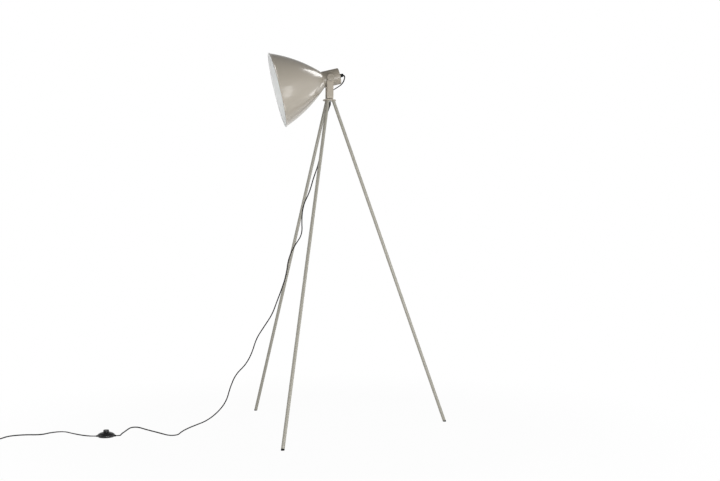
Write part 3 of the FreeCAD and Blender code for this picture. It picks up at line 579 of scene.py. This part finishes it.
# ---------------------------------------------------------------- plug
def make_plug():
    """Flat two-pin plug, waisted for the fingers, with a ribbed bend protector."""
    stations = [(0.0, 9.2, 11.2), (1.2, 11.4, 13.0), (6.0, 12.9, 13.0), (13.0, 11.8, 13.0),
                (20.0, 11.5, 13.0), (28.0, 12.3, 13.0), (33.8, 12.4, 13.0), (35.0, 11.8, 12.0)]
    around = 28
    rings = []
    for along, half_width, height in stations:
        rings.append([])
        for k in range(around):
            angle = 2 * math.pi * k / around
            c, s = math.cos(angle), math.sin(angle)
            x = half_width * math.copysign(abs(c) ** 0.35, c)
            z = PLUG_AXIS + height / 2 * math.copysign(abs(s) ** 0.45, s)
            rings[-1].append((PLUG_X + x, PLUG_Y + along, z))
    at = Matrix.Translation((PLUG_X, PLUG_Y, PLUG_AXIS)) @ Matrix.Rotation(math.radians(90), 4, "X")
    outline = [(2.3, -1.0), (3.8, -1.0)]
    for k in range(6):
        start = 0.6 + 2.7 * k
        r = 3.8 - 0.15 * k
        outline += [(r, start), (r, start + 1.6), (r - 0.5, start + 1.8), (r - 0.5, start + 2.5)]
    outline += [(2.9, 17.2), (2.85, 18.0), (2.3, 18.0)]
    body = together([skin(rings), turned_shape(outline, at, 40)])
    plug = piece("plug_moulding", *body, [moulded_nylon], "stand", "black_plastic", ["plug_body"], sharp=40)
    front = PLUG_Y + stations[-1][0]
    pin = rounded([(0, -2, 0), (2.0, -2, 0), (2.0, 19, 0.9), (0, 19, 0)])
    pins = []
    for sign in (-1, 1):
        at = (Matrix.Translation((PLUG_X + sign * PIN_SPREAD, front, PLUG_AXIS))
              @ Matrix.Rotation(math.radians(-90), 4, "X"))
        pins.append(turned_shape(pin, at, 32))
    blades = piece("plug_contact_pins", *together(pins), [nickel_plated], "stand", "brass_part",
                   ["plug_pins"])
    return [plug, blades]


def make_flex():
    """Lamp to switch, and switch to plug through the coil; the switch and the plug are pieces on them."""
    flex_piece("flex_lamp_to_switch", TO_SWITCH[::-1], "stand",
               ["flex_to_switch"], gentle_twist(SWITCH_TWIST))
    route = TO_COIL + coil_points() + TAIL
    flex_piece("flex_switch_to_plug", route, "stand",
               ["flex_to_coil", "flex_coil", "flex_tail"], gentle_twist(COIL_TWIST))


def make_head_loop():
    """Loop of flex from the gland to the pipe."""
    made = flex_piece("flex_head_bend", HEAD_LOOP[::-1], None,
                      ["flex_head_loop"], gentle_twist(HEAD_TWIST))
    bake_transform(made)


# ---------------------------------------------------------------- tripod
def leg_axis(index):
    """Where a leg's axis meets the plate and the floor, and its unit direction down."""
    turn = math.radians(LEG_TURN + 120 * index)
    side = Vector((math.cos(turn), math.sin(turn), 0))
    top = side * LEG_TOP_RADIUS + Vector((0, 0, PLATE_UNDERSIDE))
    foot = side * FOOT_RADIUS
    return top, foot, (foot - top).normalized()


def cut_at_height(point, down, z):
    """Point at height z on the line that runs through a point along the leg."""
    return point + down * ((z - point.z) / down.z)


def make_leg(index):
    """Straight painted tube, mitred under the plate, with its moulded end plug cut flat on the floor."""
    top, foot, down = leg_axis(index)
    across = down.cross(Vector((0, 0, 1))).normalized()
    other = down.cross(across)
    end = foot - down * FOOT_PLUG_HEAD
    inner_end = end - down * FOOT_PLUG_REACH
    bore = LEG_RADIUS - LEG_WALL
    segments = 40

    def at_ring(centre, radius, level=None):
        ring = []
        for k in range(segments):
            angle = 2 * math.pi * k / segments
            point = centre + across * (radius * math.cos(angle)) + other * (radius * math.sin(angle))
            ring.append(cut_at_height(point, down, level) if level is not None else point)
        return ring
    number = index + 1
    lengths = 12
    step = down * ((end - top).length / lengths)
    tube = [at_ring(top, LEG_RADIUS, PLATE_UNDERSIDE)]
    tube += [at_ring(top + step * k, LEG_RADIUS) for k in range(1, lengths)]
    tube += [at_ring(end - down * 0.5, LEG_RADIUS), at_ring(end - down * 0.1, LEG_RADIUS - 0.35),
             at_ring(end, bore), at_ring(inner_end, bore), at_ring(top, bore, PLATE_UNDERSIDE)]
    piece("leg_%d" % number, *skin(tube, closed=True), [powder_coat_leg], "stand", "painted_leg",
          ["leg_tube_%d" % number])
    plug = [at_ring(inner_end, bore - 0.1), at_ring(end, bore - 0.1),
            at_ring(end + down * 0.1, LEG_RADIUS - 0.5), at_ring(end + down * 0.5, LEG_RADIUS),
            at_ring(foot, LEG_RADIUS, 0.5), at_ring(foot, LEG_RADIUS - 0.5, 0.0)]
    piece("foot_end_%d" % number, *skin(plug), [moulded_nylon], "stand", "black_plastic",
          ["foot_plug_%d" % number])


def hex_nut(height, place, bore):
    """Hexagon nut with its corners turned off above and below."""
    flat = NUT_FLATS / 2
    corner = NUT_FLATS / math.sqrt(3)
    chamfer = 0.5
    segments = 96
    rings = []
    for k in range(segments):
        angle = 2 * math.pi * k / segments
        off_flat = (angle + math.radians(30)) % math.radians(60) - math.radians(30)
        full = min(flat / math.cos(off_flat), corner)
        face = min(full, flat * 0.97)
        low = chamfer * max(0.15, (full - flat) / (corner - flat))
        section = ((bore, 0), (face, 0), (full, low), (full, height - low), (face, height), (bore, height))
        rings.append([place @ Vector((r * math.cos(angle), r * math.sin(angle), z)) for r, z in section])
    return skin(rings, closed=True)


def make_swivel():
    """Round plate, threaded pipe, its nuts and washers, and the cord grip on its lower end."""
    turned("round_plate", rounded([(5.0, PLATE_UNDERSIDE, 0), (PLATE_RADIUS, PLATE_UNDERSIDE, 0.9),
                                   (PLATE_RADIUS, PLATE_TOP, 0.9), (5.0, PLATE_TOP, 0)]),
           powder_coat, "stand", "painted_plate", ["top_plate"], segments=128)
    pipe = [(3.4, NIPPLE_BOTTOM)] + thread(5.0, NIPPLE_BOTTOM, NIPPLE_TOP, 1.0, 0.35) + [(3.4, NIPPLE_TOP)]
    turned("threaded_pipe", pipe, zinc_plated, "stand", "zinc_steel", ["swivel_nipple"], segments=48,
           sharp=20)
    nuts = [hex_nut(NUT_HEIGHT, Matrix.Translation((0, 0, z)), 5.0)
            for z in (PLATE_UNDERSIDE - NUT_HEIGHT, UPPER_NUT)]
    piece("pipe_nuts", *together(nuts), [zinc_plated], "stand", "zinc_steel", ["swivel_nuts"], sharp=25)
    washers = [turned_shape(rounded([(5.0, z, 0), (9.5, z, 0.3), (9.5, z + 1.0, 0.3), (5.0, z + 1.0, 0)]),
                            segments=64) for z in (PLATE_TOP, UPPER_WASHER)]
    piece("pipe_washers", *together(washers), [zinc_plated], "stand", "zinc_steel", ["swivel_washers"])
    outline = [(2.3, NIPPLE_BOTTOM), (5.8, NIPPLE_BOTTOM), (6.0, NIPPLE_BOTTOM - 0.3)]
    ribs = 4
    for k in range(ribs):
        z = NIPPLE_BOTTOM - 2.6 - 2.5 * k
        outline += [(6.0, z), (5.6, z - 0.3), (5.6, z - 0.9), (6.0, z - 1.2)]
    outline += [(5.8, GRIP_END + 6.6), (5.2, GRIP_END + 5.8), (3.4, GRIP_END + 4.6), (3.1, GRIP_END + 0.3),
                (2.9, GRIP_END), (2.3, GRIP_END)]
    turned("lower_cord_grip", outline, moulded_nylon, "stand", "black_plastic", ["bottom_cord_grip"],
           segments=40)


# ---------------------------------------------------------------- yoke and knobs
def make_yoke():
    """Powder-coated strip bent to a U, its edges broken and its ends rounded about the tilt axis."""
    bend = YOKE_BEND + STRIP / 2
    side = YOKE_INNER + STRIP / 2
    base = YOKE_BASE + STRIP / 2
    tip = PIVOT_Z + STRIP_WIDTH / 2
    line = []
    steps = 14
    for k in range(steps + 1):
        angle = math.pi / 2 * (1 - k / steps)
        z = PIVOT_Z + STRIP_WIDTH / 2 * math.sin(angle)
        line.append((side, z, (0, 1), max(0.35, STRIP_WIDTH / 2 * math.cos(angle))))
    for k in range(1, 5):
        line.append((side, PIVOT_Z + (base + bend - PIVOT_Z) * k / 4, (0, 1), STRIP_WIDTH / 2))
    for k in range(1, 9):
        angle = math.pi / 2 * k / 8
        line.append((side - bend + bend * math.cos(angle), base + bend - bend * math.sin(angle),
                     (math.sin(angle), math.cos(angle)), STRIP_WIDTH / 2))
    stations = line + [(0, base, (1, 0), STRIP_WIDTH / 2)]
    stations += [(-y, z, (ty, -tz), w) for y, z, (ty, tz), w in line[::-1]]
    rings = []
    edge = 0.5
    for y, z, (ty, tz), width in stations:
        out = Vector((0, tz, -ty))
        rim = min(edge, width * 0.8)
        section = []
        for x0, t0, turn in ((1, 1, 0), (-1, 1, 90), (-1, -1, 180), (1, -1, 270)):
            for k in range(4):
                angle = math.radians(turn + 30 * k)
                section.append((x0 * (width - rim) + rim * math.cos(angle),
                                t0 * (STRIP / 2 - edge) + edge * math.sin(angle)))
        rings.append([Vector((x, y, z)) + out * t for x, t in section])
    piece("yoke_strip", *skin(rings), [powder_coat], "yoke", "painted_head", ["yoke"], sharp=40)


def make_knob(name, sign):
    """Turned thumb knob: plain face, fine straight knurl round its rim, collar against the yoke's arm."""
    place = (Matrix.Translation((0, sign * (YOKE_OUTER + 0.2), PIVOT_Z))
             @ Matrix.Rotation(math.radians(-90 * sign), 4, "X"))
    outline = [(3.06, 0), (6.9, 0), (7.0, 0.2), (7.0, 1.2), (13.2, 1.2), (14.2, 2.2), (14.4, 2.5),
               (14.4, 8.9), (14.2, 9.2), (13.4, 10.0), (12.9, 10.2), (10.9, 10.2), (10.6, 10.05),
               (10.3, 10.2), (0, 10.2), (0, 7.3), (3.06, 7.3)]
    knurls = 72

    def knurl(angle, n):
        return -0.22 + 0.22 * math.cos(knurls * angle) if n in (6, 7) else 0
    turned("thumb_knob_" + name, outline, powder_coat_darkened_for_shade, "knob_" + name, "painted_head",
           ["tilt_knob_" + name], place, knurls * 5, knurl, sharp=30)


# ---------------------------------------------------------------- head
def flip(points):
    """(distance, radius) pairs as the (radius, height) pairs of an outline about the shade's axis."""
    return [(r, d) for d, r in points]


def make_shade():
    """Spun bell: gloss outside, white inside, a rolled bead at the mouth and a flange at the neck."""
    flare, radius, centre = arc_points(*SHADE_ARC, 48)
    inner = []
    for d, r in flare:
        out = (Vector((d, r)) - centre).normalized()
        inner.append((d - out.x * SHADE_WALL, r - out.y * SHADE_WALL))
    neck = [(HOUSING_FRONT, HOUSING_RADIUS - 0.2), (HOUSING_FRONT + 0.2, HOUSING_RADIUS),
            (27.4, HOUSING_RADIUS), (28.2, 32.25), (29.2, 33.1), (30.2, 34.15)]
    bead_centre = Vector((SHADE_ARC[2][0] + SHADE_BEAD / 2, SHADE_ARC[2][1] + SHADE_WALL / 2))
    bead = []
    for k in range(15):
        angle = math.radians(150 - 300 * k / 14)
        bead.append((bead_centre.x + SHADE_BEAD * math.cos(angle),
                     bead_centre.y + SHADE_BEAD * math.sin(angle)))
    outside = neck + flare[:-1] + bead
    inside = inner[:-1][::-1] + [(29.0, 31.9), (28.0, 31.3), (27.2, 31.2), (26.6, 31.0), (26.4, 30.6),
                                 (26.4, 20.4), (25.6, 20.4)]
    outline = flip(outside + inside)
    segments = 256
    vertices, faces = turned_shape(outline, HEAD_TILTED, segments)
    count = len(outline)
    last_outside = len(neck) + len(flare) - 1 + 9
    index = []
    for k in range(segments):
        index += [0 if n < last_outside or n >= count - 1 else 1 for n in range(count)]
    piece("spun_shade", vertices, faces, [stoved_enamel, stoved_white], "head", "gloss_shade", ["shade"],
          index=index, sharp=50)


def make_housing():
    """Drawn cup with a soft back edge and a shallow rolled seam near its back."""
    wall = HOUSING_WALL
    back, front, radius = HOUSING_BACK, HOUSING_FRONT - 0.05, HOUSING_RADIUS
    corners = [(5.0, back, 0), (radius, back, 1.9), (radius, back + 8.6, 0.1),
               (radius - 0.3, back + 8.9, 0.05), (radius - 0.3, back + 9.3, 0.05), (radius, back + 9.6, 0.1),
               (radius, front, 0.3), (radius - wall, front, 0.2), (radius - wall, back + wall, 1.0),
               (5.0, back + wall, 0)]
    turned("socket_housing", rounded(corners), powder_coat_darkened_for_shade, "head", "painted_head", ["housing"],
           HEAD_TILTED, 160)


def make_rear_grip():
    """Screwed cord grip on the housing's back, with finger flutes and a domed end."""
    back, end = HOUSING_BACK, HOUSING_BACK - GLAND_LENGTH
    outline = [(2.3, back), (7.0, back), (7.2, back - 0.3), (7.2, back - 6.8), (6.9, back - 7.6),
               (6.7, back - 8.0), (6.7, end + 3.4), (6.4, end + 2.0), (5.4, end + 0.7), (3.4, end),
               (2.3, end)]

    def flute(angle, n):
        return -0.3 + 0.3 * math.cos(12 * angle) if n in (2, 3) else 0
    turned("rear_gland", outline, moulded_nylon, "head", "black_plastic", ["rear_cord_grip"], HEAD_TILTED,
           144, flute)


def make_lampholder():
    """Pressed lampholder: ribbed barrel, flange behind the shade, threaded skirt and its shade ring."""
    front = HOUSING_FRONT
    outline = [(5.0, -33.0), (14.0, -33.0), (19.0, -25.0), (19.0, front - 2.5), (25.6, front - 2.5),
               (26.0, front - 2.1), (26.0, front - 0.05), (20.0, front - 0.05)]
    outline += [(19.9, front + 0.9)] + thread(19.95, front + 1.2, HOLDER_END - 0.6, 2.5, 0.5)
    outline += [(19.2, HOLDER_END), (15.4, HOLDER_END), (15.0, HOLDER_END - 0.4), (15.0, 2.0), (5.0, 2.0)]

    def ribs(angle, n):
        return 0.25 * math.cos(24 * angle) if n in (2, 3) else 0
    turned("lampholder_moulding", outline, pressed_phenolic, "head", "holder_plastic", ["lampholder_body"],
           HEAD_TILTED, 144, ribs)
    start = front + SHADE_WALL
    ring = [(20.05, start), (25.8, start), (26.0, start + 0.3), (25.9, start + 2.2), (24.4, start + 4.7),
            (23.8, start + 5.0), (20.05, start + 5.0)]

    def grips(angle, n):
        return -0.3 + 0.3 * math.cos(36 * angle) if n in (2, 3, 4) else 0
    turned("shade_ring_moulding", ring, pressed_phenolic, "head", "holder_plastic", ["lampholder_ring"],
           HEAD_TILTED, 216, grips)


def make_bulb():
    """Pear-shaped opal bulb with its rolled screw cap."""
    tip, radius = HOLDER_END + BULB_REACH, BULB_RADIUS
    centre = tip - radius
    base = HOLDER_END - 3.0
    outline = [(0, base), (13.0, base), (13.4, base + 2.0), (14.2, base + 6.5), (15.4, base + 13.0)]
    shoulder = math.radians(128)
    neck_end = Vector((radius * math.sin(shoulder), centre + radius * math.cos(shoulder)))
    start = Vector(outline[-1])
    for k in range(1, 8):
        t = k / 8
        ease = 0.35 * t + 0.65 * t * t * (3 - 2 * t)
        outline.append((start.x + (neck_end.x - start.x) * ease - 0.6 * math.sin(math.pi * t),
                        start.y + (neck_end.y - start.y) * t))
    for k in range(33):
        angle = shoulder * (1 - k / 32)
        outline.append((radius * math.sin(angle), centre + radius * math.cos(angle)))
    outline[-1] = (0, tip)
    turned("bulb_envelope", outline, blown_opal_glass, "head", "bulb_glass", ["bulb_glass"], HEAD_TILTED, 96,
           sharp=60)
    cap = [(0, 6.0), (4.5, 6.0), (5.2, 7.2), (10.8, 13.8)] + thread(13.2, 14.2, base - 3.0, 3.6, 1.0)
    cap += [(13.1, base - 2.4), (13.1, base), (0, base)]
    turned("bulb_screw_cap", cap, pressed_aluminium, "head", "bulb_cap", ["bulb_cap"], HEAD_TILTED, 64,
           sharp=30)


# ---------------------------------------------------------------- room and light
def seen_by_eye(tree):
    """1 for rays that show the backdrop: from the camera or through glass; else 0."""
    path = add(tree, "LightPath")
    seen = add(tree, "Math", {0: path.outputs["Is Camera Ray"], 1: path.outputs["Is Transmission Ray"]},
               operation="MAXIMUM")
    return path, seen.outputs[0]


def make_floor():
    """White floor just under the feet: a faint shadow near the lamp, and plain white further off."""
    bpy.ops.mesh.primitive_plane_add(size=60, location=(0, 0, -0.0005))
    floor = bpy.context.object
    floor.name = "floor"
    material = bpy.data.materials.new("pale_floor")
    material.use_nodes = True
    tree = material.node_tree
    tree.nodes.clear()
    matt = add(tree, "BsdfDiffuse", {"Color": (0.86, 0.86, 0.86, 1)})
    glow = add(tree, "Emission", {"Color": (1, 1, 1, 1), "Strength": 1.0})
    path, seen = seen_by_eye(tree)
    seen = add(tree, "Math", {0: seen, 1: path.outputs["Is Glossy Ray"]}, operation="MAXIMUM").outputs[0]
    place = add(tree, "TexCoord").outputs["Object"]
    distance = add(tree, "VectorMath", {0: place}, operation="LENGTH").outputs["Value"]
    share = add(tree, "MapRange", {"Value": distance, "From Min": FLOOR_NEAR_M, "From Max": FLOOR_FAR_M,
                                   "To Min": FLOOR_GLOW, "To Max": 1.0}).outputs[0]
    share = add(tree, "Math", {0: seen, 1: share}, operation="MULTIPLY").outputs[0]
    mixed = add(tree, "MixShader", {0: share, 1: matt.outputs[0], 2: glow.outputs[0]})
    add(tree, "OutputMaterial", {"Surface": mixed.outputs[0]})
    floor.data.materials.append(material)


def make_surround():
    """White backdrop all round, under a darker ceiling that only lights and shines on the lamp."""
    world = bpy.data.worlds.new("studio")
    bpy.context.scene.world = world
    world.use_nodes = True
    tree = world.node_tree
    tree.nodes.clear()
    path, seen = seen_by_eye(tree)
    direction = add(tree, "TexCoord").outputs["Generated"]
    height = add(tree, "SeparateXYZ", {0: direction}).outputs["Z"]
    lit = add(tree, "MapRange", {"Value": height, "From Min": 0.0, "From Max": 0.8, "To Min": WALL_LIGHT,
                                 "To Max": CEILING_LIGHT}, interpolation_type="SMOOTHSTEP").outputs[0]
    shine = add(tree, "MapRange", {"Value": height, "From Min": 0.15, "From Max": 0.75, "To Min": 1.0,
                                   "To Max": CEILING_SHINE}, interpolation_type="SMOOTHSTEP").outputs[0]
    strength = add(tree, "Mix", {0: path.outputs["Is Glossy Ray"], 2: lit, 3: shine},
                   data_type="FLOAT").outputs[0]
    strength = add(tree, "Mix", {0: seen, 2: strength, 3: 1.0}, data_type="FLOAT").outputs[0]
    glow = add(tree, "Background", {"Color": (1, 1, 1, 1), "Strength": strength})
    add(tree, "OutputWorld", {"Surface": glow.outputs[0]})


def softbox(name, azimuth, elevation, distance_m, width_m, height_m, radiance, roll):
    """Rectangular light that faces the head; azimuth is from +Y towards +X, angles in degrees."""
    turn, rise = math.radians(azimuth), math.radians(elevation)
    head = Vector((0, 0, PIVOT_Z * MM))
    away = Vector((math.sin(turn) * math.cos(rise), math.cos(turn) * math.cos(rise), math.sin(rise)))
    data = bpy.data.lights.new(name, "AREA")
    data.shape = "RECTANGLE"
    data.size = width_m
    data.size_y = height_m
    data.energy = radiance * math.pi * width_m * height_m
    light = bpy.data.objects.new(name, data)
    facing = (-away).to_track_quat("-Z", "Y").to_matrix() @ Matrix.Rotation(math.radians(roll), 3, "Z")
    light.matrix_world = Matrix.Translation(head + away * distance_m) @ facing.to_4x4()
    bpy.context.scene.collection.objects.link(light)


def make_light():
    for values in SOFTBOXES:
        softbox(*values)


# ---------------------------------------------------------------- finishes of the CAD nodes that stay
def finish_cad_nodes():
    """Materials of the CAD nodes whose shape is right as it is."""
    kept = {
        zinc_plated: ["tilt_stud_near", "tilt_stud_far", "switch_screws", "back_nipple", "back_nut",
                      "leg_stud_1", "leg_stud_2", "leg_stud_3",
                      "leg_insert_1", "leg_insert_2", "leg_insert_3"],
        turned_steel: ["pivot_bosses"],
        moulded_glass_nylon: ["friction_washers"],
        nickel_plated: ["lampholder_shell", "lampholder_contact"],
        pressed_phenolic: ["switch_mechanism"],
        extruded_pvc: ["flex_in_nipple"],
    }
    for material, names in kept.items():
        for name in names:
            data = nodes[name].data
            data.materials.clear()
            data.materials.append(material)


make_camera()
switch = make_switch()
plug = make_plug()
make_flex()
make_head_loop()
for leg in range(3):
    make_leg(leg)
make_swivel()
make_yoke()
make_knob("near", -1)
make_knob("far", 1)
make_shade()
make_housing()
make_rear_grip()
make_lampholder()
make_bulb()
finish_cad_nodes()
make_floor()
make_surround()
make_light()
bpy.context.scene.view_settings.view_transform = "Standard"
